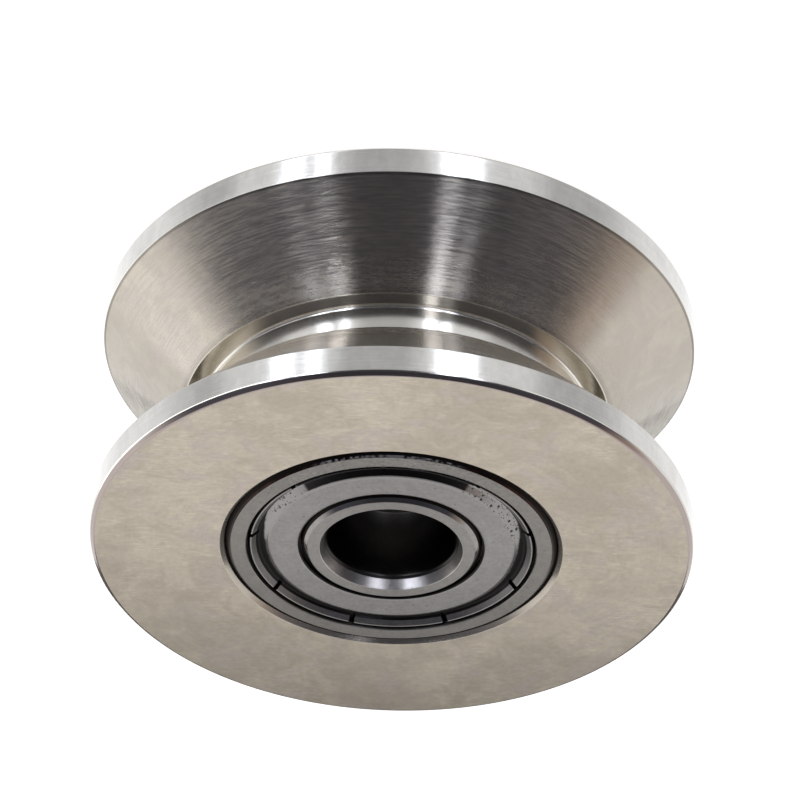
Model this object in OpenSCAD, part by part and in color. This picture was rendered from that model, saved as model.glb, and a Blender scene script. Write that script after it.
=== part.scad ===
// V groove track wheel on two shielded deep groove ball bearings.
// The wheel stands on one end: +Z is the axle axis, the origin is the middle of the wheel on that axis.
// The lower half of every bearing stack is the upper half turned over.

/* [Wheel] */
// Outer diameter over the two rims
wheel_d = 47; // [46:0.5:60]
// Overall width of the wheel along the axle
wheel_w = 21.6; // [21.2:0.1:30]
// Depth of the V, from the rims down to the relief slot, along the radius
v_depth = 6.65; // [5.5:0.05:6.9]
// Included angle of the V, between its two flanks
v_angle = 90; // [86:1:94]
// Width of the square relief slot at the root of the V
slot_w = 3.2; // [2.4:0.1:4]
// Depth of the relief slot below the foot of the flanks
slot_depth = 1.55; // [1:0.05:1.7]
// Radius of the fillets in the two corners of the relief slot
slot_fillet = 0.25; // [0.1:0.05:0.5]
// Chamfer on the outer edges of the two end faces
rim_chamfer = 0.33; // [0.1:0.01:0.6]
// Small flat broken on the sharp edge between each rim and its flank
rim_break = 0.06; // [0.02:0.01:0.2]

/* [Bearing seats] */
// Lead-in chamfer at the mouth of each bearing seat
seat_chamfer = 0.35; // [0.1:0.01:0.5]
// How far the bearing faces sit below the end faces of the wheel
bearing_inset = 0; // [0:0.05:0.5]
// Bore of the shoulder between the two bearing seats
shoulder_d = 22.4; // [20:0.1:23]

/* [Bearing] */
// Bore of the inner ring
bore_d = 10; // [9.8:0.05:10.1]
// Outside diameter of the outer ring
bearing_d = 26; // [26:0.05:26.2]
// Width of each bearing
bearing_w = 8; // [8:0.05:8.3]
// Diameter of the balls
ball_d = 4.762; // [4.7:0.001:4.79]
// Diameter of the circle through the ball centres
pitch_d = 18; // [17.98:0.01:18.02]
// Number of balls in each bearing
ball_n = 7; // [7:1:7]
// Gap left between a ball and each raceway
ball_gap = 0.02; // [0.01:0.005:0.04]
// Radius of the raceway grooves
race_r = 2.48; // [2.46:0.01:2.55]
// Shoulder diameter of the inner ring
inner_shoulder_d = 14.8; // [14.4:0.1:14.9]
// Shoulder diameter of the outer ring
outer_shoulder_d = 21.2; // [21.1:0.1:21.6]
// Chamfer on the outer edges of the outer ring
ring_corner = 0.5; // [0.3:0.05:0.6]
// Outside diameter of the inner ring at its faces, inside the shields
inner_face_d = 14.04; // [13.8:0.02:14.04]
// Chamfer on the outer edges of the inner ring
inner_corner = 0.5; // [0.2:0.02:0.56]
// Diameter of the tapered mouths of the bore, at the face
mouth_d = 11.16; // [11:0.02:11.4]
// Diameter at which the taper of a mouth runs out
mouth_end_d = 10.44; // [10.3:0.02:10.6]
// Depth of the taper along the axle
mouth_taper = 0.78; // [0.6:0.02:0.9]
// Depth at which the mouth has blended into the bore
mouth_depth = 1.15; // [1.05:0.05:1.3]

/* [Shields] */
// Diameter of the recess in the face of the outer ring, outside the shield
recess_d = 22.6; // [22.5:0.05:22.7]
// Thickness of the shield's sheet
shield_t = 0.28; // [0.2:0.01:0.3]
// Depth of the flat of the shield below the bearing face
shield_depth = 0.225; // [0.2:0.005:0.26]
// Inner diameter of the shield
shield_id = 14.3; // [14.26:0.02:14.6]
// Outer diameter of the flat of the shield
plateau_d = 18.9; // [18.6:0.1:19]
// Depth of the bottom of the pressed channel below the bearing face
channel_depth = 0.65; // [0.6:0.01:0.7]
// Depth of the crest of the crimped rim below the bearing face
crimp_depth = 0.1; // [0.08:0.01:0.16]
// Number of slits in the crimped rim of the shield
slit_n = 9; // [6:1:12]
// Width of each slit
slit_w = 0.45; // [0.2:0.05:0.6]
// Angle of the first slit about the axle, from +X
slit_turn = 34.3; // [0:0.1:40]

/* [Cage] */
// Thickness of the cage's sheet
cage_t = 0.4; // [0.3:0.02:0.42]
// Gap between a ball and its pocket
pocket_gap = 0.08; // [0.05:0.01:0.1]
// Inner diameter of the cage
cage_id = 16.2; // [15.8:0.1:16.6]
// Outer diameter of the cage
cage_od = 19.8; // [19.4:0.1:20]
// Shank diameter of the cage rivets
rivet_d = 0.9; // [0.7:0.05:1]
// Head diameter of the cage rivets
rivet_head_d = 1.5; // [1.3:0.05:1.6]

/* [Spacer] */
// Outside diameter of the sleeve between the two inner rings
spacer_d = 13; // [12.5:0.1:13.2]
// Bore of the sleeve, a little over the axle
spacer_bore = 10.2; // [10.15:0.05:10.6]

/* [Hidden] */
$fn = 96;

wheel_r = wheel_d / 2;
half_w = wheel_w / 2;
foot_r = wheel_r - v_depth;
slot_r = foot_r - slot_depth;
// Where each flank meets its rim, from the middle plane
rim_z = slot_w / 2 + v_depth * tan(v_angle / 2);
// Middle plane of each bearing, from the middle of the wheel
bearing_z = half_w - bearing_inset - bearing_w / 2;
// Inner face of each bearing, where it meets the shoulder
shoulder_z = bearing_z - bearing_w / 2;
hb = bearing_w / 2;
pitch_r = pitch_d / 2;
ball_r = ball_d / 2;
// Centres of the raceway circles, so that each groove clears the balls by ball_gap
inner_race_c = pitch_r - ball_r - ball_gap + race_r;
outer_race_c = pitch_r + ball_r + ball_gap - race_r;
// Step turned on the inner ring beside each shield
step_r = inner_face_d / 2;
step_z = hb - 0.85;
// Recess of the outer ring that holds the shield: straight mouth, then a groove behind it
recess_r = recess_d / 2;
groove_r = recess_r + 0.25;
groove_z0 = hb - 1.05;
groove_z1 = hb - 0.55;
pocket_r = ball_r + pocket_gap;
ball_step = 360 / ball_n;

function arc(cx, cy, r, a0, a1, n) = [for (i = [0:n]) [cx + r * cos(a0 + (a1 - a0) * i / n), cy + r * sin(a0 + (a1 - a0) * i / n)]];

// Half section of the wheel body, radius against height: outside above the middle plane, then the bores
function outside_half() = concat(
    // slot bottom, fillet and wall
    arc(slot_r + slot_fillet, slot_w / 2 - slot_fillet, slot_fillet, 180, 90, 5),
    [[foot_r, slot_w / 2],
     // flank up to the broken edge of the rim
     [wheel_r - rim_break, rim_z - rim_break * tan(v_angle / 2)],
     [wheel_r, rim_z + rim_break * 0.4],
     [wheel_r, half_w - rim_chamfer],
     [wheel_r - rim_chamfer, half_w]]);
function inside_half() = [
    [bearing_d / 2 + seat_chamfer, half_w],
    [bearing_d / 2, half_w - seat_chamfer],
    [bearing_d / 2, shoulder_z],
    [shoulder_d / 2 + 0.2, shoulder_z],
    [shoulder_d / 2, shoulder_z - 0.2]];
function down(pts) = [for (i = [len(pts) - 1:-1:0]) [pts[i][0], -pts[i][1]]];

module wheel_body() {
    color([0.66, 0.65, 0.62])
    rotate_extrude($fn = 180)
    polygon(concat(outside_half(), inside_half(), down(inside_half()), down(outside_half())));
}

module at_top() { translate([0, 0, bearing_z]) children(); }
module at_bottom() { rotate([180, 0, 0]) translate([0, 0, bearing_z]) children(); }

// Outer ring about its own middle plane: seat side, two chamfered edges, a shield recess in each face and the raceway
module outer_ring() {
    color([0.56, 0.56, 0.56])
    difference() {
        rotate_extrude($fn = 128)
        polygon([[outer_shoulder_d / 2, -groove_z0], [groove_r, -groove_z0], [groove_r, -groove_z1], [recess_r, -groove_z1 - 0.12],
                 [recess_r, -hb + 0.06], [recess_r + 0.06, -hb],
                 [bearing_d / 2 - ring_corner, -hb], [bearing_d / 2, -hb + ring_corner],
                 [bearing_d / 2, hb - ring_corner], [bearing_d / 2 - ring_corner, hb],
                 [recess_r + 0.06, hb], [recess_r, hb - 0.06], [recess_r, groove_z1 + 0.12], [groove_r, groove_z1], [groove_r, groove_z0],
                 [outer_shoulder_d / 2, groove_z0]]);
        rotate_extrude($fn = 128) translate([outer_race_c, 0]) circle(r = race_r, $fn = 64);
    }
}

// Half section of the inner ring above its middle plane, from the shoulder over the face to the bore
function inner_ring_half() = concat(
    [[inner_shoulder_d / 2, step_z - 0.1], [inner_shoulder_d / 2 - 0.1, step_z], [step_r + 0.06, step_z], [step_r, step_z + 0.06]],
    [[step_r, hb - inner_corner], [step_r - inner_corner, hb],
     // tapered mouth of the bore
     [mouth_d / 2, hb], [mouth_end_d / 2, hb - mouth_taper],
     [bore_d / 2 + 0.3 * (mouth_end_d - bore_d) / 2, (hb - mouth_taper + hb - mouth_depth) / 2],
     [bore_d / 2, hb - mouth_depth]]);

// Inner ring about its own middle plane: bore with two tapered mouths, a step beside each shield and the raceway
module inner_ring() {
    color([0.6, 0.59, 0.57])
    difference() {
        rotate_extrude($fn = 128)
        polygon(concat(inner_ring_half(), down(inner_ring_half())));
        rotate_extrude($fn = 128) translate([inner_race_c, 0]) circle(r = race_r, $fn = 64);
    }
}

// Shield on the +Z face of a bearing: flat with a rolled inner edge, sloping shoulder, shallow channel,
// crimped rim with slits, and a lip in the groove of the outer ring
module shield() {
    t = shield_t;
    ir = shield_id / 2;
    pr = plateau_d / 2;
    // heights of the flat, the bottom of the channel and the crest of the crimped rim
    zp = hb - shield_depth;
    zc = hb - channel_depth;
    zt = hb - crimp_depth;
    // where the crimped rim starts to rise, and its outer side
    cr = 10.42;
    or = recess_r - 0.24;
    color([0.58, 0.57, 0.57])
    difference() {
        rotate_extrude($fn = 128)
        polygon([[ir + 0.05, zp - t], [pr - 0.1, zp - t], [pr + 0.17, zp - t - 0.075], [pr + 0.6, zc - t + 0.05], [pr + 0.75, zc - t],
                 [cr + 0.08, zc - t], [cr + 0.14, groove_z0], [groove_r - 0.03, groove_z0],
                 [groove_r - 0.03, groove_z1 - 0.06], [or + 0.14, groove_z1 - 0.06], [or + 0.07, groove_z1 + 0.01],
                 [or, zt - 0.11], [or - 0.07, zt - 0.01], [or - 0.14, zt], [or - 0.2, zt - 0.03],
                 [cr + 0.11, zc + 0.19], [cr + 0.05, zc + 0.1], [cr, zc + 0.02], [cr - 0.08, zc], [cr - 0.2, zc + 0.01],
                 [pr + 0.45, zc + 0.21], [pr + 0.27, zp - 0.095], [pr + 0.13, zp - 0.03], [pr, zp],
                 [ir + 0.23, zp], [ir + 0.09, zp - 0.035], [ir + 0.01, zp - 0.115], [ir, zp - t + 0.065]]);
        for (i = [0:slit_n - 1])
            rotate([0, 0, i * 360 / slit_n + slit_turn])
            translate([cr - 0.02, -slit_w / 2, hb - 0.75]) cube([recess_r - cr, slit_w, 1]);
    }
}

// Half of the ribbon cage: flats that meet at the middle plane, and a dished pocket over each ball
module cage_half() {
    color([0.5, 0.49, 0.47])
    difference() {
        intersection() {
            difference() {
                cylinder(r = cage_od / 2, h = 2.95, $fn = 128);
                translate([0, 0, -1]) cylinder(r = cage_id / 2, h = 5, $fn = 128);
            }
            union() {
                cylinder(r = cage_od / 2 + 1, h = cage_t, $fn = 128);
                for (i = [0:ball_n - 1])
                    rotate([0, 0, i * ball_step]) translate([pitch_r, 0, 0]) sphere(r = pocket_r + cage_t, $fn = 64);
            }
        }
        for (i = [0:ball_n - 1]) {
            rotate([0, 0, i * ball_step]) translate([pitch_r, 0, 0]) sphere(r = pocket_r, $fn = 64);
            rotate([0, 0, (i + 0.5) * ball_step]) translate([pitch_r, 0, -1]) cylinder(d = rivet_d, h = 4, $fn = 32);
        }
    }
}

// Rivets through the flats of the two halves, with a low round head on each side
module cage_rivets() {
    color([0.62, 0.6, 0.56])
    for (i = [0:ball_n - 1])
        rotate([0, 0, (i + 0.5) * ball_step]) translate([pitch_r, 0, 0])
        rotate_extrude($fn = 32)
        polygon([[0, -cage_t - 0.35], [rivet_head_d / 2 - 0.2, -cage_t - 0.35], [rivet_head_d / 2, -cage_t - 0.12], [rivet_head_d / 2, -cage_t],
                 [rivet_d / 2, -cage_t], [rivet_d / 2, cage_t], [rivet_head_d / 2, cage_t], [rivet_head_d / 2, cage_t + 0.12],
                 [rivet_head_d / 2 - 0.2, cage_t + 0.35], [0, cage_t + 0.35]]);
}

module ball(i) {
    color([0.75, 0.75, 0.76])
    rotate([0, 0, i * ball_step]) translate([pitch_r, 0, 0]) sphere(r = ball_r, $fn = 64);
}

module spacer_sleeve() {
    color([0.62, 0.61, 0.58])
    rotate_extrude($fn = 96)
    polygon([[spacer_bore / 2, -shoulder_z + 0.2], [spacer_bore / 2 + 0.2, -shoulder_z], [spacer_d / 2 - 0.2, -shoulder_z], [spacer_d / 2, -shoulder_z + 0.2],
             [spacer_d / 2, shoulder_z - 0.2], [spacer_d / 2 - 0.2, shoulder_z], [spacer_bore / 2 + 0.2, shoulder_z], [spacer_bore / 2, shoulder_z - 0.2]]);
}

wheel_body();
spacer_sleeve();

at_top() outer_ring();  // outer_ring_top
at_top() inner_ring();  // inner_ring_top
at_top() shield();  // shield_outer_top
at_top() rotate([180, 0, 0]) shield();  // shield_inner_top
at_top() cage_half();  // cage_upper_top
at_top() mirror([0, 0, 1]) cage_half();  // cage_lower_top
at_top() cage_rivets();  // cage_rivets_top
at_top() ball(0);  // ball_top_1
at_top() ball(1);  // ball_top_2
at_top() ball(2);  // ball_top_3
at_top() ball(3);  // ball_top_4
at_top() ball(4);  // ball_top_5
at_top() ball(5);  // ball_top_6
at_top() ball(6);  // ball_top_7

at_bottom() outer_ring();  // outer_ring_bottom
at_bottom() inner_ring();  // inner_ring_bottom
at_bottom() shield();  // shield_outer_bottom
at_bottom() rotate([180, 0, 0]) shield();  // shield_inner_bottom
at_bottom() mirror([0, 0, 1]) cage_half();  // cage_upper_bottom
at_bottom() cage_half();  // cage_lower_bottom
at_bottom() cage_rivets();  // cage_rivets_bottom
at_bottom() ball(0);  // ball_bottom_1
at_bottom() ball(1);  // ball_bottom_2
at_bottom() ball(2);  // ball_bottom_3
at_bottom() ball(3);  // ball_bottom_4
at_bottom() ball(4);  // ball_bottom_5
at_bottom() ball(5);  // ball_bottom_6
at_bottom() ball(6);  // ball_bottom_7
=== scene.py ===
# Looks of the v groove wheel: turned steel wheel on two shielded ball bearings.
import bpy
import math
from mathutils import Matrix, Vector


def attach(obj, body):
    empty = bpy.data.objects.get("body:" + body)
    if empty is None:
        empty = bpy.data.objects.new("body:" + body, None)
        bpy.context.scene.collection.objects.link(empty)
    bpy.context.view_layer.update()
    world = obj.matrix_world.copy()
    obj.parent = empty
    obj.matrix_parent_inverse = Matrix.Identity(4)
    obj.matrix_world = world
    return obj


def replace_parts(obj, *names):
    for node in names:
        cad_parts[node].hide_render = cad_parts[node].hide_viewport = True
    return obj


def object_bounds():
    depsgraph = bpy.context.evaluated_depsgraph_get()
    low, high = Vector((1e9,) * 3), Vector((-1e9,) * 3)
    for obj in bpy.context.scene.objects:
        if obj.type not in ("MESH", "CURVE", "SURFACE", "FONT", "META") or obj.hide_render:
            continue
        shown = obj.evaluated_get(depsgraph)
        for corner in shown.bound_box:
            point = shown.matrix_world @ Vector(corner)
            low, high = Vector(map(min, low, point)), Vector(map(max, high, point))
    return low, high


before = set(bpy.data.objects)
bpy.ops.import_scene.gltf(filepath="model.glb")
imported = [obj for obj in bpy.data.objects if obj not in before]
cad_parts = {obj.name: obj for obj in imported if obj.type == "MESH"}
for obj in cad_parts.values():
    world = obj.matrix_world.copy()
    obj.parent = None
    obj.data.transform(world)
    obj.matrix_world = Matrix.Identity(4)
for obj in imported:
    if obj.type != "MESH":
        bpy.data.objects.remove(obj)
cad_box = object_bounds()
MM = 0.001

# ------------------------------------------------------------------ sizes, in mm, as in the CAD source
WHEEL_R, HALF_W = 23.5, 10.8
FOOT_R, SLOT_R, SLOT_Z = 16.85, 15.3, 1.6
RIM_Z = SLOT_Z + (WHEEL_R - FOOT_R)
SEAT_R, SEAT_CH, RIM_CH = 13.0, 0.35, 0.33
SHOULDER_R = 11.2
HB = 4.0
BEARING_Z = HALF_W - HB
SHOULDER_Z = BEARING_Z - HB
RACE_C_IN, RACE_C_OUT, RACE_R = 9.0 - 2.381 - 0.02 + 2.48, 9.0 + 2.381 + 0.02 - 2.48, 2.48


# ------------------------------------------------------------------ lathe
def rounded(points, steps=4, near=0.02):
    """Points [r, z, radius, tag] of a closed section, in order. Rounds each corner, and puts a loop
    close to each side of it so that the shading of the flats stays flat. The tag names the finish of
    the edge that leaves the corner; the rounding itself takes the finish named by an optional fifth value."""
    out = []
    n = len(points)
    for i, p in enumerate(points):
        a, c = points[i - 1], points[(i + 1) % n]
        v = Vector((p[0], p[1]))
        da, dc = Vector((a[0], a[1])) - v, Vector((c[0], c[1])) - v
        la, lc = da.length, dc.length
        da.normalize(); dc.normalize()
        ang = da.angle(dc)
        edge = p[4] if len(p) > 4 else p[3]
        if p[2] <= 0 or ang > math.radians(178):
            out.append((p[0], p[1], p[3]))
            continue
        t = min(p[2] / math.tan(ang / 2), la * 0.42, lc * 0.42)
        rad = t * math.tan(ang / 2)
        centre = v + (da + dc).normalized() * (rad / math.sin(ang / 2))
        s, e = v + da * t, v + dc * t
        if la * 0.5 - t > near * 1.5:
            q = v + da * (t + near)
            out.append((q.x, q.y, a[3]))
        a0 = math.atan2(s.y - centre.y, s.x - centre.x)
        a1 = math.atan2(e.y - centre.y, e.x - centre.x)
        d = (a1 - a0 + math.pi) % (2 * math.pi) - math.pi
        k = max(2, round(steps * abs(d) / math.radians(90) + 1))
        for j in range(k + 1):
            w = a0 + d * j / k
            out.append((centre.x + rad * math.cos(w), centre.y + rad * math.sin(w), edge if j < k else p[3]))
        if lc * 0.5 - t > near * 1.5:
            q = v + dc * (t + near)
            out.append((q.x, q.y, p[3]))
    return out


def mesh_from(name, verts, faces, tags, finishes, sharp=38):
    me = bpy.data.meshes.new(name)
    me.from_pydata(verts, [], faces)
    for f in finishes.values():
        me.materials.append(f)
    order = list(finishes)
    me.polygons.foreach_set("material_index", [order.index(t) for t in tags])
    me.polygons.foreach_set("use_smooth", [True] * len(faces))
    me.validate()
    me.set_sharp_from_angle(angle=math.radians(sharp))
    me.update()
    ob = bpy.data.objects.new(name, me)
    bpy.context.scene.collection.objects.link(ob)
    return ob


def lathe(name, section, finishes, seg=360, flip=False):
    """A closed ring turned from a section. Its points run anticlockwise with r to the right and z up."""
    n = len(section)
    s = -1 if flip else 1
    verts, faces, tags = [], [], []
    for j in range(seg):
        c, d = math.cos(2 * math.pi * j / seg), math.sin(2 * math.pi * j / seg)
        for r, z, _ in section:
            verts.append((r * c * MM, r * d * s * MM, z * s * MM))
    for j in range(seg):
        k = (j + 1) % seg
        for i in range(n):
            m = (i + 1) % n
            faces.append((j * n + i, k * n + i, k * n + m, j * n + m))
            tags.append(section[i][2])
    return mesh_from(name, verts, faces, tags, finishes)


def slit_lathe(name, full, cut, finishes, slits, half, seg=360, flip=False):
    """As lathe(), with the section changed to cut within half a slit of each angle in slits, in degrees."""
    n = len(full)
    s = -1 if flip else 1
    stops = []
    edges = sorted((a - half) % 360 for a in slits)
    for a in [360 * j / seg for j in range(seg)]:
        if all(abs((a - b + 180) % 360 - 180) > half + 0.15 for b in slits):
            stops.append((a, 0, full))
    for b in slits:
        stops += [((b - half) % 360, 0, full), ((b - half) % 360, 1, cut), (b % 360, 0, cut),
                  ((b + half) % 360, 0, cut), ((b + half) % 360, 1, full)]
    stops.sort(key=lambda q: (q[0], q[1]))
    index, verts, rows = {}, [], []
    for a, _, sec in stops:
        row = []
        for r, z, _ in sec:
            key = (round(a, 6), round(r, 6), round(z, 6))
            if key not in index:
                index[key] = len(verts)
                w = math.radians(a)
                verts.append((r * math.cos(w) * MM, r * math.sin(w) * s * MM, z * s * MM))
            row.append(index[key])
        rows.append(row)
    faces, tags = [], []
    for j in range(len(rows)):
        a, b = rows[j], rows[(j + 1) % len(rows)]
        looks = cut if cut in (stops[j][2], stops[(j + 1) % len(rows)][2]) else full
        for i in range(n):
            m = (i + 1) % n
            f = []
            for v in (a[i], b[i], b[m], a[m]):
                if v not in f:
                    f.append(v)
            if len(f) > 2:
                faces.append(tuple(f))
                tags.append(looks[i][2])
    return mesh_from(name, verts, faces, tags, finishes)


# ------------------------------------------------------------------ node helper
class Graph:
    """Short ways to write a node tree."""

    def __init__(self, tree):
        self.t = tree

    def put(self, socket, value):
        if isinstance(value, bpy.types.NodeSocket):
            self.t.links.new(value, socket)
        elif value is not None:
            socket.default_value = value

    def math(self, op, a, b=None, c=None, clamp=False):
        n = self.t.nodes.new("ShaderNodeMath")
        n.operation = op
        n.use_clamp = clamp
        for s, v in zip(n.inputs, (a, b, c)):
            self.put(s, v)
        return n.outputs[0]

    def add(self, *v):
        out = v[0]
        for w in v[1:]:
            out = self.math("ADD", out, w)
        return out

    def mul(self, *v):
        out = v[0]
        for w in v[1:]:
            out = self.math("MULTIPLY", out, w)
        return out

    def vec(self, op, a, b=None, scale=None, out=0):
        n = self.t.nodes.new("ShaderNodeVectorMath")
        n.operation = op
        self.put(n.inputs[0], a)
        if b is not None:
            self.put(n.inputs[1], b)
        if scale is not None:
            self.put(n.inputs["Scale"], scale)
        return n.outputs[out]

    def split(self, v):
        n = self.t.nodes.new("ShaderNodeSeparateXYZ")
        self.t.links.new(v, n.inputs[0])
        return n.outputs

    def xyz(self, x, y, z):
        n = self.t.nodes.new("ShaderNodeCombineXYZ")
        for s, v in zip(n.inputs, (x, y, z)):
            self.put(s, v)
        return n.outputs[0]

    def ramp(self, v, a, b, lo=0.0, hi=1.0, smooth=True):
        n = self.t.nodes.new("ShaderNodeMapRange")
        n.interpolation_type = "SMOOTHSTEP" if smooth else "LINEAR"
        n.clamp = True
        self.put(n.inputs[0], v)
        for s, q in zip(n.inputs[1:5], (a, b, lo, hi)):
            s.default_value = q
        return n.outputs[0]

    def band(self, v, a, b, soft, soft2=None):
        """1 between a and b, 0 outside, with soft edges centred on a and b."""
        q = soft if soft2 is None else soft2
        return self.mul(self.ramp(v, a - soft / 2, a + soft / 2), self.ramp(v, b - q / 2, b + q / 2, 1.0, 0.0))

    def mix(self, f, a, b, mode="MIX"):
        n = self.t.nodes.new("ShaderNodeMix")
        n.data_type = "RGBA"
        n.blend_type = mode
        self.put(n.inputs[0], f)
        self.put(n.inputs[6], a if not isinstance(a, tuple) else (*a, 1.0))
        self.put(n.inputs[7], b if not isinstance(b, tuple) else (*b, 1.0))
        return n.outputs[2]

    def grey(self, v):
        return self.xyz(v, v, v)


class Nodes(Graph):
    """A material on the Principled shader. Lengths inside are in mm, in the object's own coordinates."""

    def __init__(self, name):
        self.mat = bpy.data.materials.new(name)
        self.mat.use_nodes = True
        super().__init__(self.mat.node_tree)
        self.bsdf = self.t.nodes["Principled BSDF"]
        co = self.t.nodes.new("ShaderNodeTexCoord")
        self.mm = self.vec("SCALE", co.outputs["Object"], scale=1000.0)
        self.x, self.y, self.z = self.split(self.mm)
        self.r = self.math("SQRT", self.add(self.mul(self.x, self.x), self.mul(self.y, self.y)))
        self.cos = self.math("DIVIDE", self.x, self.r)
        self.sin = self.math("DIVIDE", self.y, self.r)
        # turn about the axis in degrees, from -Y towards +X
        self.phi = self.mul(self.math("ARCTAN2", self.x, self.mul(self.y, -1.0)), 57.29578)

    def noise(self, where, scale=1.0, detail=2.0, rough=0.5, distort=0.0):
        n = self.t.nodes.new("ShaderNodeTexNoise")
        self.put(n.inputs["Vector"], where)
        n.inputs["Scale"].default_value = scale
        n.inputs["Detail"].default_value = detail
        n.inputs["Roughness"].default_value = rough
        n.inputs["Distortion"].default_value = distort
        return n.outputs[0]

    def cells(self, where, scale=1.0, feature="F1", random=1.0):
        n = self.t.nodes.new("ShaderNodeTexVoronoi")
        n.feature = feature
        self.put(n.inputs["Vector"], where)
        n.inputs["Scale"].default_value = scale
        n.inputs["Randomness"].default_value = random
        return n.outputs["Distance"]

    def around(self, k, s, f):
        """Coordinates that change slowly round the axis (k) and quickly along s (f a mm)."""
        return self.xyz(self.mul(self.cos, k), self.mul(self.sin, k), self.mul(s, f))

    def spot(self, phi, r, z, size, soft=0.5, wobble=None):
        """1 within about size mm of a place given by its turn in degrees, radius and height."""
        a = math.radians(phi)
        where = self.mm if wobble is None else wobble
        d = self.vec("DISTANCE", where, (r * math.sin(a), -r * math.cos(a), z), out=1)
        return self.ramp(d, size * (1 - soft), size * (1 + soft), 1.0, 0.0)

    def bump(self, height, distance_um, strength=1.0):
        n = self.t.nodes.new("ShaderNodeBump")
        n.inputs["Strength"].default_value = strength
        n.inputs["Distance"].default_value = distance_um * 1e-6
        self.put(n.inputs["Height"], height)
        return n.outputs[0]

    def tangent(self):
        n = self.t.nodes.new("ShaderNodeTangent")
        n.direction_type = "RADIAL"
        n.axis = "Z"
        return n.outputs[0]

    def finish(self, colour, rough, normal=None, aniso=0.0, turn=0.25, metal=1.0):
        b = self.bsdf
        b.inputs["Metallic"].default_value = metal
        self.put(b.inputs["Base Color"], colour if not isinstance(colour, tuple) else (*colour, 1.0))
        self.put(b.inputs["Roughness"], rough)
        if aniso:
            b.inputs["Anisotropic"].default_value = aniso
            b.inputs["Anisotropic Rotation"].default_value = turn
            self.put(b.inputs["Tangent"], self.tangent())
        if normal is not None:
            self.put(b.inputs["Normal"], normal)
        return self.mat


# ------------------------------------------------------------------ finishes
def mottle(g, where, light, shade, blush):
    """Faint warm and cool clouds of a steel face, in three sizes."""
    big = g.noise(where, 0.10, 3, 0.55, 0.5)
    mid = g.noise(where, 0.36, 4, 0.62, 0.8)
    cloud = g.add(g.mul(big, 0.45), g.mul(mid, 0.55))
    base = g.mix(g.ramp(cloud, 0.40, 0.60), shade, light)
    cool = g.ramp(g.noise(where, 0.24, 4, 0.62, 1.0), 0.50, 0.66)
    return g.mix(cool, base, blush), mid


def end_face_finish(name="steel_end_face"):
    """Faced and polished end: almost even, faint warm and cool clouds, very fine rings and short cross scuffs."""
    g = Nodes(name)
    flat = g.xyz(g.x, g.y, g.mul(g.z, 0.2))
    base, mid = mottle(g, flat, (0.610, 0.556, 0.470), (0.505, 0.455, 0.385), (0.545, 0.486, 0.446))
    small = g.noise(flat, 2.2, 4, 0.65)
    rings = g.noise(g.around(2.0, g.r, 5.0), 1.0, 3, 0.65)
    scuff = g.noise(g.xyz(g.mul(g.x, 0.9), g.mul(g.y, 6.0), 0.0), 1.0, 4, 0.7, 0.6)
    worn = g.ramp(g.noise(flat, 0.16, 3, 0.6, 0.6), 0.46, 0.60)
    tint = g.add(0.74, g.mul(small, 0.32), g.mul(rings, 0.13), g.mul(g.ramp(scuff, 0.42, 0.72), worn, 0.20))
    colour = g.mix(1.0, base, g.grey(tint), "MULTIPLY")
    rough = g.add(0.31, g.mul(mid, 0.10), g.mul(rings, 0.04))
    height = g.add(g.mul(rings, 0.7), g.mul(small, 0.6), g.mul(scuff, worn, 0.8))
    return g.finish(colour, rough, g.bump(height, 5.0, 1.0))


def flank_finish(name="steel_flank"):
    """Flank as it left the lathe: fine tool lines broken into short dashes, stained here and there, with painted shade
    near the bottom of the groove and a thin darker line along the outer edge.
    """
    g = Nodes(name)
    fine = g.noise(g.around(3.0, g.r, 8.5), 1.0, 2, 0.6)
    dash = g.noise(g.around(16.0, g.r, 10.0), 1.0, 2, 0.6)
    bands = g.noise(g.around(0.7, g.r, 1.3), 1.0, 2, 0.5)
    base, blot = mottle(g, g.mm, (0.590, 0.548, 0.485), (0.530, 0.492, 0.438), (0.545, 0.500, 0.462))
    small = g.noise(g.mm, 2.4, 4, 0.65)
    lines = g.ramp(g.add(g.mul(fine, 0.45), g.mul(dash, 0.55)), 0.36, 0.62)
    tint = g.add(0.90, g.mul(lines, 0.05), g.mul(small, 0.04))
    # painted shade: the flank is darkened near the bottom of the groove; the next ramp makes a thin darker line along
    # the outer edge
    groove_shade = g.ramp(g.r, 16.95, 17.30, 0.80, 1.0)
    outer = g.ramp(g.r, 23.30, 23.38, 1.0, 0.6)
    colour = g.mix(1.0, base, g.grey(g.mul(tint, groove_shade, outer)), "MULTIPLY")
    rough = g.add(0.168, g.mul(bands, 0.03), g.mul(lines, 0.08), g.ramp(g.r, 17.2, 19.4, 0.05, 0.0))
    # tool lines on a face worn slightly hollow
    off = g.mul(g.add(g.r, -20.4), 0.32)
    height = g.add(g.mul(fine, 0.9), g.mul(dash, 0.75), g.mul(bands, 0.6), g.mul(off, off, 12.0))
    return g.finish(colour, rough, g.bump(height, 8.0, 1.0), 1.0)


def turned_finish(name, base, rough, along, aniso=1.0, lines=7.0, depth=4.0, stain=0.10):
    """Turned surface: fine tool lines round the axis, which smear each highlight across them."""
    g = Nodes(name)
    s = {"r": g.r, "z": g.z}[along]
    fine = g.noise(g.around(2.0, s, lines), 1.0, 3, 0.7)
    dash = g.noise(g.around(18.0, s, lines), 1.0, 2, 0.6)
    cross = g.noise(g.around(30.0, s, 0.5), 1.0, 3, 0.6)
    cloud = g.noise(g.mm, 0.25, 3, 0.6, 0.5)
    blot = g.noise(g.mm, 0.9, 4, 0.65, 0.3)
    tint = g.add(1.0 - stain * 1.9, g.mul(fine, stain), g.mul(cloud, stain), g.mul(cross, stain), g.mul(blot, stain * 0.8))
    colour = g.mix(1.0, base, g.grey(tint), "MULTIPLY")
    r = g.add(rough - 0.05, g.mul(fine, 0.06), g.mul(cross, 0.04))
    height = g.add(fine, g.mul(dash, 0.8))
    return g.finish(colour, r, g.bump(height, depth, 1.0), aniso)


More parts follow.
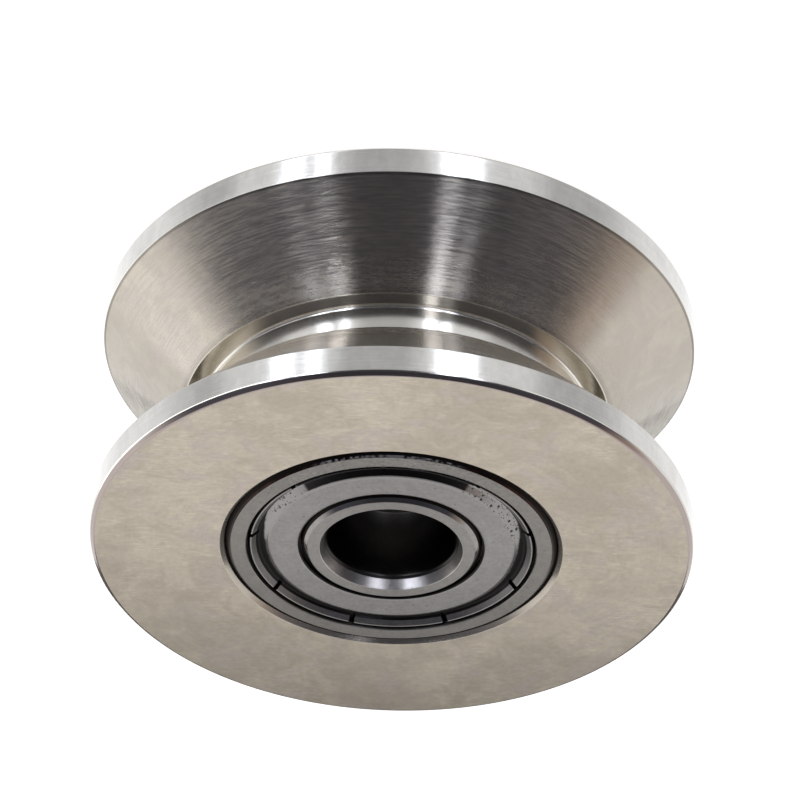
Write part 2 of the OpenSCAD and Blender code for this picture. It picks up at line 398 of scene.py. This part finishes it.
def ground_finish(name, base, rough, aniso=0.7, speck=0.0, worn=0.0):
    """Ground bearing steel: neutral, fine rings, a few dark specks and faint scratches."""
    g = Nodes(name)
    rings = g.noise(g.around(1.5, g.r, 9.0), 1.0, 3, 0.7)
    cloud = g.noise(g.mm, 0.7, 4, 0.6, 0.3)
    fine = g.noise(g.mm, 3.0, 3, 0.65)
    dots = g.ramp(g.cells(g.mm, 1.3), 0.05, 0.10, 1.0 - speck, 1.0)
    tint = g.mul(g.add(0.48, g.mul(rings, 0.18), g.mul(cloud, 0.40), g.mul(fine, 0.46)), dots)
    height = g.add(rings, cloud, fine)
    if worn:
        # rubbed and scratched on one side
        rub = g.mul(g.band(g.phi, -46, 48, 22), g.add(g.noise(g.around(34.0, g.r, 4.2), 1.0, 3, 0.7), -0.47))
        pock = g.mul(g.band(g.phi, -60, 62, 20), g.ramp(g.cells(g.mm, 2.1), 0.10, 0.17, 1.0, 0.0))
        tint = g.mul(tint, g.add(1.0, g.mul(rub, worn), g.mul(pock, -0.45)))
        height = g.add(height, g.mul(rub, 2.5 * worn))
    colour = g.mix(1.0, base, g.grey(tint), "MULTIPLY")
    r = g.add(rough - 0.04, g.mul(cloud, 0.09))
    return g.finish(colour, r, g.bump(height, 3.0, 1.0), aniso)


def shield_slope_finish(name="shield_slope"):
    """Shoulder and crimped rim of a shield: satin sheet, pitted in two places, with painted shade in the channel and on
    one front segment.
    """
    g = Nodes(name)
    cloud = g.noise(g.mm, 0.9, 4, 0.6, 0.3)
    fine = g.noise(g.mm, 3.0, 3, 0.65)
    holes = g.ramp(g.cells(g.mm, 2.2), 0.20, 0.29, 1.0, 0.0)
    small = g.ramp(g.cells(g.mm, 4.4), 0.17, 0.26, 1.0, 0.0)
    where = g.math("MAXIMUM", g.mul(g.band(g.phi, -84, -34, 14.0), g.band(g.r, 9.5, 10.5, 0.3)),
                   g.mul(g.band(g.phi, 46, 68, 10.0), g.band(g.r, 9.6, 10.5, 0.3), 0.7))
    pits = g.mul(g.math("MAXIMUM", holes, g.mul(small, 0.7)), where)
    # painted shade: the channel is darkened, and the darkening reaches further in towards the back of the wheel
    turn = g.math("ABSOLUTE", g.phi)
    edge = g.add(g.ramp(turn, 62, 98, 10.40, 9.72), g.mul(g.add(cloud, -0.5), 0.25))
    deep = g.ramp(g.math("SUBTRACT", g.r, edge), -0.08, 0.08)
    channel_shade = g.mul(deep, g.ramp(g.r, 10.50, 10.58, 1.0, 0.0))
    # painted shade: the segment between two slits at the front is darkened almost to black
    front_shade = g.mul(g.band(g.phi, -34.5, 42.5, 2.0), g.band(g.add(g.r, g.mul(cloud, 0.10)), 9.74, 11.1, 0.10), g.add(0.86, g.mul(fine, 0.10)))
    tint = g.mul(g.add(0.84, g.mul(cloud, 0.16), g.mul(fine, 0.12)), g.add(1.0, g.mul(pits, -0.85)),
                 g.add(1.0, g.mul(channel_shade, -0.93)), g.add(1.0, g.mul(front_shade, -1.0)))
    colour = g.mix(1.0, (0.300, 0.293, 0.293), g.grey(tint), "MULTIPLY")
    height = g.add(g.mul(fine, 0.25), g.mul(pits, -3.0))
    return g.finish(colour, g.add(0.19, g.mul(cloud, 0.08), g.mul(channel_shade, 0.25)), g.bump(height, 8.0, 1.0), 0.5)


def rusty_corner_finish(name="bearing_ring_corner"):
    """Rounded edge of the outer ring: very dark and a little rusty, rubbed bare in a few specks."""
    g = Nodes(name)
    cloud = g.noise(g.mm, 1.1, 4, 0.65, 0.4)
    fine = g.noise(g.mm, 3.2, 3, 0.6)
    rust = g.mul(g.band(g.phi, -58, 60, 30), g.ramp(cloud, 0.35, 0.6))
    base = g.mix(rust, (0.014, 0.011, 0.010), (0.062, 0.030, 0.025))
    bare = g.mul(g.ramp(fine, 0.44, 0.54), g.band(g.phi, -22, 27, 8), g.ramp(g.r, 12.70, 12.64))
    colour = g.mix(bare, base, (0.85, 0.82, 0.79))
    return g.finish(colour, g.add(0.12, g.mul(cloud, 0.14)), g.bump(g.add(cloud, g.mul(fine, 0.5)), 8.0, 1.0), metal=0.9)


def gap_grime_and_shade_finish(name, base=(0.035, 0.027, 0.023), rough=0.55):
    """Oil and muck caught in a narrow gap, darkened further by painted shade."""
    g = Nodes(name)
    cloud = g.noise(g.mm, 1.3, 4, 0.65, 0.5)
    colour = g.mix(g.ramp(cloud, 0.4, 0.7), base, tuple(c * 0.45 for c in base))
    return g.finish(colour, g.add(rough - 0.1, g.mul(cloud, 0.2)), g.bump(cloud, 12, 0.6), metal=0.3)


FACE = end_face_finish()
RIM = turned_finish("steel_rim", (0.77, 0.76, 0.74), 0.165, "z", 0.6, 9.0, 2.2, 0.22)
FLANK = flank_finish()
SLOT = turned_finish("steel_slot", (0.83, 0.81, 0.775), 0.17, "z", 0.7, 8.0, 2.0, 0.10)
# the slot wall is a darker, browner copy of the slot's steel: painted shade deep in the groove
WALL = turned_finish("steel_slot_wall_painted_shade", (0.50, 0.46, 0.39), 0.15, "r", 0.7, 8.0, 1.5, 0.12)
EDGE = turned_finish("steel_edge", (0.72, 0.70, 0.66), 0.17, "z", 0.6, 9.0, 1.0, 0.04)
CHAMFER = turned_finish("steel_chamfer", (0.42, 0.365, 0.35), 0.15, "z", 0.5, 9.0, 2.0, 0.08)
SEAT = turned_finish("steel_seat_chamfer", (0.50, 0.46, 0.41), 0.26, "z", 0.9, 9.0, 3.0, 0.12)
INNER = turned_finish("steel_inside", (0.30, 0.28, 0.25), 0.42, "z", 0.5, 6.0, 4.0, 0.12)
GRIME_AND_SHADE = gap_grime_and_shade_finish("seat_grime_and_painted_shade")
RING = ground_finish("bearing_ring", (0.258, 0.248, 0.238), 0.36, 0.7, 0.5, 1.1)
RING_CORNER = rusty_corner_finish()
INNER_RING = ground_finish("bearing_inner_face", (0.290, 0.282, 0.275), 0.34, 0.7, 0.4)
# black in the bearing's gaps: oil and muck, with painted shade where the gaps are deep
BLACK = ground_finish("bearing_dirt_and_painted_shade", (0.018, 0.015, 0.014), 0.45, 0.0)
# a darker copy of the ring steel in the recesses under the shields: painted shade
RING_DARK = ground_finish("bearing_ring_recess_painted_shade", (0.10, 0.095, 0.09), 0.40)
MOUTH = ground_finish("bearing_bore_mouth", (0.56, 0.535, 0.52), 0.33, 0.0, 0.4)
LIP = ground_finish("bearing_inner_chamfer", (0.29, 0.28, 0.275), 0.12, 0.0, 0.2)
SHIELD_TAB = ground_finish("shield_tabs", (0.205, 0.198, 0.198), 0.44, 0.0, 0.2)
# the bore, far darker than the inner ring's steel: painted shade inside the hole
BORE = ground_finish("bearing_bore_painted_shade", (0.060, 0.057, 0.055), 0.30, 0.0)
RACE = ground_finish("bearing_race", (0.42, 0.41, 0.40), 0.18, 0.0)
SHIELD = ground_finish("shield_flat", (0.305, 0.298, 0.298), 0.34, 0.6, 0.6)
# a black copy of the shield sheet for its underside, the crimp's wall in the channel, the rolled inner edge and the
# slit floors: painted shade
SHIELD_DARK = ground_finish("shield_under_painted_shade", (0.03, 0.028, 0.028), 0.42)
SHIELD_SLOPE = shield_slope_finish()
BALL = ground_finish("ball_polish", (0.62, 0.62, 0.63), 0.08, 0.0)
CAGE = ground_finish("cage_sheet", (0.36, 0.35, 0.33), 0.36, 0.0, 0.3)
RIVET = ground_finish("rivet_wire", (0.42, 0.40, 0.37), 0.30, 0.0)
SLEEVE = turned_finish("sleeve_steel", (0.42, 0.41, 0.39), 0.32, "z", 0.8, 6.0, 3.0, 0.1)


# ------------------------------------------------------------------ wheel body
def wheel_section():
    top = [
        [SLOT_R, SLOT_Z, 0.25, "wall", "slot"],
        [FOOT_R, SLOT_Z, 0.13, "flank", "edge"],
        [WHEEL_R, RIM_Z, 0.05, "rim", "edge"],
        [WHEEL_R, HALF_W - RIM_CH, 0.24, "chamfer", "edge"],
        [WHEEL_R - RIM_CH, HALF_W, 0.24, "face", "chamfer"],
        [SEAT_R + SEAT_CH, HALF_W, 0.08, "seat", "seat"],
        # bottom of the seat chamfer: oil and muck, with painted shade in the narrow gap between wheel and bearing
        [SEAT_R + 0.045, HALF_W - SEAT_CH + 0.045, 0.0, "grime"],
        [SEAT_R, HALF_W - SEAT_CH, 0.0, "inside"],
        [SEAT_R, SHOULDER_Z, 0.0, "inside"],
        [SHOULDER_R + 0.2, SHOULDER_Z, 0.05, "inside"],
        [SHOULDER_R, SHOULDER_Z - 0.2, 0.05, "inside"],
    ]
    # the lower half runs back down: an edge's finish is that of the edge which leaves the corner
    low = []
    for i in range(len(top) - 1, -1, -1):
        p = top[i]
        before = top[i - 1][3] if i else "slot"
        low.append([p[0], -p[1], p[2], before, p[4] if len(p) > 4 else before])
    return rounded(top + low)


wheel = lathe("wheel_body_turned", wheel_section(),
              {"slot": SLOT, "wall": WALL, "flank": FLANK, "edge": EDGE, "rim": RIM, "chamfer": CHAMFER,
               "face": FACE, "seat": SEAT, "grime": GRIME_AND_SHADE, "inside": INNER}, seg=384)
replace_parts(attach(wheel, "wheel"), "wheel_body")


# ------------------------------------------------------------------ bearings
def arc_points(cx, cz, rx, rz, a0, a1, k, tag):
    out = []
    for i in range(k + 1):
        a = math.radians(a0 + (a1 - a0) * i / k)
        out.append([cx + rx * math.cos(a), cz + rz * math.sin(a), 0, tag])
    return out


def lift(section):
    return [(r, z + BEARING_Z, t) for r, z, t in section]


def outer_ring_section():
    half = math.degrees(math.acos((10.6 - RACE_C_OUT) / RACE_R))
    g0, g1, c = HB - 1.05, HB - 0.55, 0.5
    up = [[13.0, HB - c, 0.05, "black"], [13.0 - 0.33, HB - c + 0.33, 0.0, "corner"], [13.0 - c, HB, 0.09, "ring"]]
    face = [[11.39, HB, 0, "ring"], [11.36, HB, 0, "ring"], [11.3, HB - 0.06, 0, "dark"],
            [11.3, g1 + 0.12, 0, "dark"], [11.55, g1, 0, "dark"], [11.55, g0, 0, "dark"], [10.6, g0, 0.05, "race"]]
    race = arc_points(RACE_C_OUT, 0, RACE_R, RACE_R, half, -half, 24, "race")
    back = [[p[0], -p[1], p[2], q[3]] for p, q in zip(reversed(up + face), [face[-1]] + list(reversed((up + face)[:-1])))]
    return lift(rounded(up + face + race + back[:-1] + [[13.0, -HB + c, 0.05, "black"]]))


def inner_ring_section():
    half = math.degrees(math.acos((RACE_C_IN - 7.4) / RACE_R))
    st, sz, c = 7.02, HB - 0.85, 0.5
    top = [[7.4, sz - 0.1, 0, "dark"], [7.3, sz, 0.05, "dark"], [st + 0.06, sz, 0, "dark"], [st, sz + 0.06, 0, "black"],
           [st, HB - c, 0.07, "black"], [st - 0.22, HB - c + 0.22, 0, "lip"], [st - c, HB, 0.10, "inner"], [5.58, HB, 0.05, "mouth"],
           [5.22, HB - 0.78, 0.12, "bore"], [5.066, HB - 0.965, 0.1, "bore"], [5.0, HB - 1.15, 0, "bore"]]
    low = [[p[0], -p[1], p[2], q[3]] for p, q in zip(reversed(top), [top[-1]] + list(reversed(top[:-1])))]
    race = arc_points(RACE_C_IN, 0, RACE_R, RACE_R, 180 + half, 180 - half, 24, "race")
    return lift(rounded(top + low + race))


def shield_sections():
    t, ir, pr, cr, ro = 0.28, 7.15, 9.45, 10.42, 11.06
    zp, zc, zt = HB - 0.225, HB - 0.65, HB - 0.10
    g0, g1, gr = HB - 1.05, HB - 0.55, 11.55
    pts = [
        [ir + 0.05, zp - t, 0.02, "dark"], [pr - 0.1, zp - t, 0.3, "dark"], [pr + 0.17, zp - t - 0.075, 0.3, "dark"], [pr + 0.6, zc - t + 0.05, 0.3, "dark"], [pr + 0.75, zc - t, 0.3, "dark"],
        [cr + 0.08, zc - t, 0, "dark"], [cr + 0.14, g0, 0, "dark"], [gr - 0.03, g0, 0, "dark"], [gr - 0.03, g1 - 0.06, 0, "dark"],
        [ro + 0.14, g1 - 0.06, 0.05, "dark"], [ro + 0.07, g1 + 0.01, 0.1, "dark"], [ro, zt - 0.11, 0.3, "slope"], [ro - 0.07, zt - 0.01, 0.3, "slope"],
        [ro - 0.14, zt, 0.3, "slope"], [ro - 0.2, zt - 0.03, 0.3, "tab"], [cr + 0.11, zc + 0.19, 0.3, "dark"], [cr + 0.05, zc + 0.1, 0.3, "dark"], [cr, zc + 0.02, 0.05, "dark"],
        [cr - 0.08, zc, 0.3, "slope"], [cr - 0.2, zc + 0.01, 0.3, "slope"], [pr + 0.45, zc + 0.21, 0.3, "slope"], [pr + 0.27, zp - 0.095, 0.3, "slope"],
        [pr + 0.13, zp - 0.03, 0.3, "slope"], [pr, zp, 0.3, "flat"], [ir + 0.23, zp, 0.3, "flat"], [ir + 0.09, zp - 0.035, 0.3, "dark"],
        [ir + 0.01, zp - 0.115, 0.3, "dark"], [ir, zp - t + 0.065, 0.05, "dark"],
    ]
    full = rounded(pts)
    floor = HB - 0.75
    cut = [(r, floor, "dark") if cr - 0.03 < r < ro + 0.24 and z > floor else (r, z, tag) for r, z, tag in full]
    return lift(full), lift(cut)


ring_look = {"ring": RING, "corner": RING_CORNER, "inner": INNER_RING, "dark": RING_DARK, "black": BLACK, "race": RACE, "bore": BORE, "mouth": MOUTH, "lip": LIP}
full, cut = shield_sections()
slits = [34.3 + 40 * k for k in range(9)]
for side, flip in (("top", False), ("bottom", True)):
    o = lathe("outer_ring_%s_ground" % side, outer_ring_section(), ring_look, 360, flip)
    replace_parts(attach(o, "wheel"), "outer_ring_%s" % side)
    o = lathe("inner_ring_%s_ground" % side, inner_ring_section(), ring_look, 300, flip)
    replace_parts(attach(o, "root"), "inner_ring_%s" % side)
    o = slit_lathe("shield_%s_pressed" % side, full, cut, {"flat": SHIELD, "dark": SHIELD_DARK, "slope": SHIELD_SLOPE, "tab": SHIELD_TAB}, slits, 1.2, 360, flip)
    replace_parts(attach(o, "wheel"), "shield_outer_%s" % side)

# pieces inside keep their CAD shape
for name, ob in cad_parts.items():
    look = (BALL if name.startswith("ball") else RIVET if "rivets" in name else CAGE if name.startswith("cage")
            else SHIELD if name.startswith("shield") else SLEEVE if name.startswith("spacer") else RING if "ring" in name else FACE)
    for s in ob.material_slots:
        s.material = look

# ------------------------------------------------------------------ floor, light, camera
def floor_finish():
    g = Nodes("floor_paper")
    fine = g.noise(g.mm, 0.02, 2, 0.5)
    g.bsdf.inputs["Metallic"].default_value = 0.0
    g.put(g.bsdf.inputs["Base Color"], g.mix(fine, (0.58, 0.58, 0.58), (0.62, 0.62, 0.62)))
    g.bsdf.inputs["Roughness"].default_value = 0.7
    g.bsdf.inputs["Emission Color"].default_value = (1, 1, 1, 1)
    g.bsdf.inputs["Emission Strength"].default_value = 0.85
    return g.mat


def card_finish():
    g = Nodes("grey_card")
    g.bsdf.inputs["Metallic"].default_value = 0.0
    g.bsdf.inputs["Base Color"].default_value = (0.02, 0.02, 0.02, 1)
    g.bsdf.inputs["Specular IOR Level"].default_value = 0.0
    g.bsdf.inputs["Emission Color"].default_value = (1.0, 0.97, 0.92, 1)
    g.bsdf.inputs["Emission Strength"].default_value = 0.15
    return g.mat


def stage_sheet(name, corners, finish):
    me = bpy.data.meshes.new(name)
    me.from_pydata(corners, [], [(0, 1, 2, 3)])
    me.materials.append(finish)
    ob = bpy.data.objects.new(name, me)
    bpy.context.scene.collection.objects.link(ob)
    return ob


size = 3.0
low = cad_box[0].z - 2e-5
floor = stage_sheet("floor", [(-size, -size, low), (size, -size, low), (size, size, low), (-size, size, low)], floor_finish())
# the lamps and the card below give the metal its reflections; the floor is only seen
floor.visible_glossy = False
card = stage_sheet("grey_card", [(-0.05, 0.06, low), (0.05, 0.06, low), (0.05, 0.06, 0.042), (-0.05, 0.06, 0.042)], card_finish())
card.visible_camera = card.visible_diffuse = card.visible_shadow = card.visible_transmission = False

world = bpy.data.worlds.new("studio")
bpy.context.scene.world = world
world.use_nodes = True
w = Graph(world.node_tree)
bg = w.t.nodes["Background"]
way = w.t.nodes.new("ShaderNodeTexCoord").outputs["Generated"]
wx, wy, wz = w.split(way)
az = w.mul(w.math("ARCTAN2", wx, w.mul(wy, -1.0)), 57.29578)
el = w.mul(w.math("ARCSINE", wz), 57.29578)
side = w.math("ABSOLUTE", az)


def wdot(v):
    return w.vec("DOT_PRODUCT", way, v, out=1)


# above the floor: a bright room behind the wheel, a dark one in front of it
bright = w.ramp(wy, -0.08, 0.30)
warmth = w.ramp(wx, 0.2, 0.9, 1.0, 1.12)
back = w.mix(1.0, (1.02, 1.0, 0.975), w.grey(warmth), "MULTIPLY")
low_front = w.ramp(el, 8, 44, 0.25, 1.0)
front_level = w.mul(w.add(0.068, w.ramp(wx, 0.25, 0.75, 0.0, 0.075), w.ramp(wx, -0.35, -0.8, 0.0, 0.05)), low_front)
front = w.mix(1.0, (0.99, 0.99, 1.17), w.grey(front_level), "MULTIPLY")
edge = w.mul(bright, w.math("SUBTRACT", 1.0, bright), 4.0, w.ramp(wx, -0.3, -0.6))
room = w.mix(w.mul(edge, 0.75), w.mix(bright, front, back), (0.56, 0.43, 0.35))
# below: the floor as the rims see it
under = w.add(0.47, w.mul(w.band(az, -55, -7, 12), 0.29), w.mul(w.band(az, 24, 71, 12), 0.29),
              w.ramp(side, 74, 116, 0.0, 0.44), w.ramp(side, 116, 165, 0.0, 0.20), w.ramp(az, 120, 165, 0.0, 0.15),
              w.mul(w.band(az, 46, 128, 10), w.band(el, -22, 6, 8), 2.1),
              w.mul(w.band(az, -84, -44, 8), w.band(el, -18, 6, 8), 0.8))
light = w.mix(w.ramp(el, -5, 4), w.grey(under), room)
# four upright strip lamps; those on the left lean a little towards the middle as they rise
lean = w.mul(w.math("MAXIMUM", el, 0.0), w.math("GREATER_THAN", az, 0.0), 0.30)
az2 = w.add(az, lean)
lamps = 0.0
for a0, a1, power, top, e_hi, soft in ((30.4, 34.4, 2.1, 19.0, 15, 9), (41.0, 48.4, 1.9, 5.2, 16, 13), (-21.0, -14.6, 2.1, 5.2, 36, 24), (-29.5, -24.8, 1.9, 3.2, 28, 24)):
    level = w.ramp(el, -18, 4, power, top)
    lamps = w.add(lamps, w.mul(w.band(az2, a0, a1, 0.6), w.band(el, -62, e_hi, 10, soft), level))
light = w.mix(1.0, light, w.mix(1.0, (0.94, 0.99, 1.12), w.grey(lamps), "MULTIPLY"), "ADD")
seen = w.t.nodes.new("ShaderNodeLightPath").outputs["Is Camera Ray"]
w.put(bg.inputs["Color"], w.mix(seen, light, (0.96, 0.96, 0.96)))
bg.inputs["Strength"].default_value = 1.0

bpy.context.scene.view_settings.view_transform = "Standard"
bpy.context.scene.view_settings.look = "None"

# The camera looks at the wheel from 35.5 degrees above the plane of its end face, turned upside down
cam_data = bpy.data.cameras.new("camera")
cam_data.sensor_width = 36.0
cam_data.lens = 12.683 * 475.0 / 800.0 * 36.0
cam_data.clip_start, cam_data.clip_end = 0.01, 20
cam = bpy.data.objects.new("camera", cam_data)
th, roll = math.radians(35.511), math.radians(177.778)
back = Vector((0, -math.cos(th), math.sin(th)))
up0 = Vector((0, math.sin(th), math.cos(th)))
right0 = Vector((1, 0, 0))
right = right0 * math.cos(roll) - up0 * math.sin(roll)
up = right0 * math.sin(roll) + up0 * math.cos(roll)
place = back * 475.0 + right0 * -0.237 + up0 * -2.909
m4 = Matrix((right, up, back)).transposed().to_4x4()
m4.translation = place * MM
cam.matrix_world = m4
bpy.context.scene.collection.objects.link(cam)
bpy.context.scene.camera = cam

bpy.context.view_layer.update()
